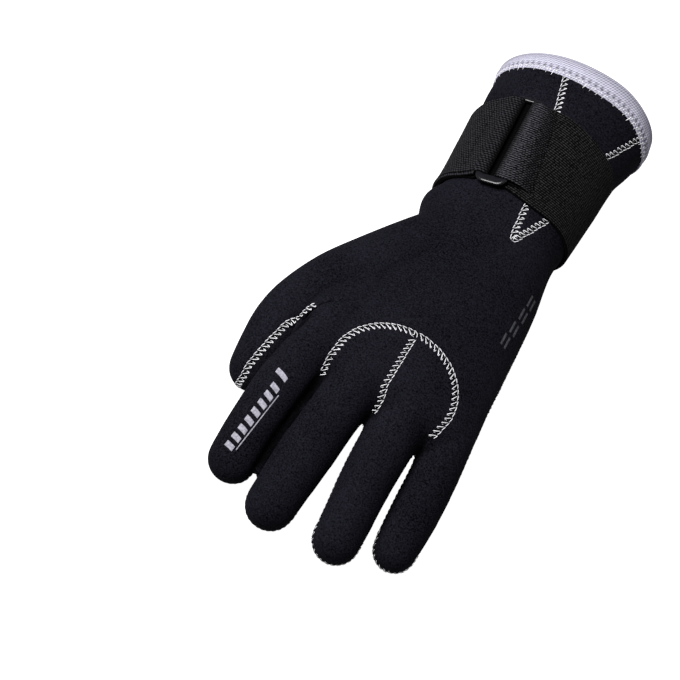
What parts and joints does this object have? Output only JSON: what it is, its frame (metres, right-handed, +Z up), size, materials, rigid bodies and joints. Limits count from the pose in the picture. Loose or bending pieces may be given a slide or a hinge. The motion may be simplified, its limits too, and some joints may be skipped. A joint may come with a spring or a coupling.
{
  "type": "neoprene water-sports glove",
  "caption": "Left-hand five-finger sheet neoprene glove with white flat seams, a taped cuff and a wrist strap on a slide ring, lying palm down.",
  "frame": {"origin": "on the surface that the glove lies on, under the middle of its outline", "axes": "+Y out of the cuff's mouth, -Y along the fingers, -X towards the thumb, +Z up, out of the back of the hand"},
  "size_m": [0.1244, 0.2892, 0.0675],
  "materials": {
    "neoprene": "matt black knit on neoprene",
    "palm_fabric": "matt black knit with small pale grip dots",
    "binding_tape": "pale silver-grey stretch tape",
    "elastic": "black ribbed elastic",
    "webbing": "black coarse webbing",
    "twill_tape": "black fine twill",
    "black_ring": "glossy black"
  },
  "bodies": {
    "root": {"back_panel": "neoprene", "middle_finger_panel": "neoprene", "ring_finger_panel": "neoprene", "palm_panel": "palm_fabric", "cuff_gusset": "neoprene", "cuff_binding": "binding_tape", "wrist_strap": "elastic", "strap_anchor": "webbing", "strap_tail": "twill_tape", "buckle_ring": "black_ring"}
  },
  "joints": []
}
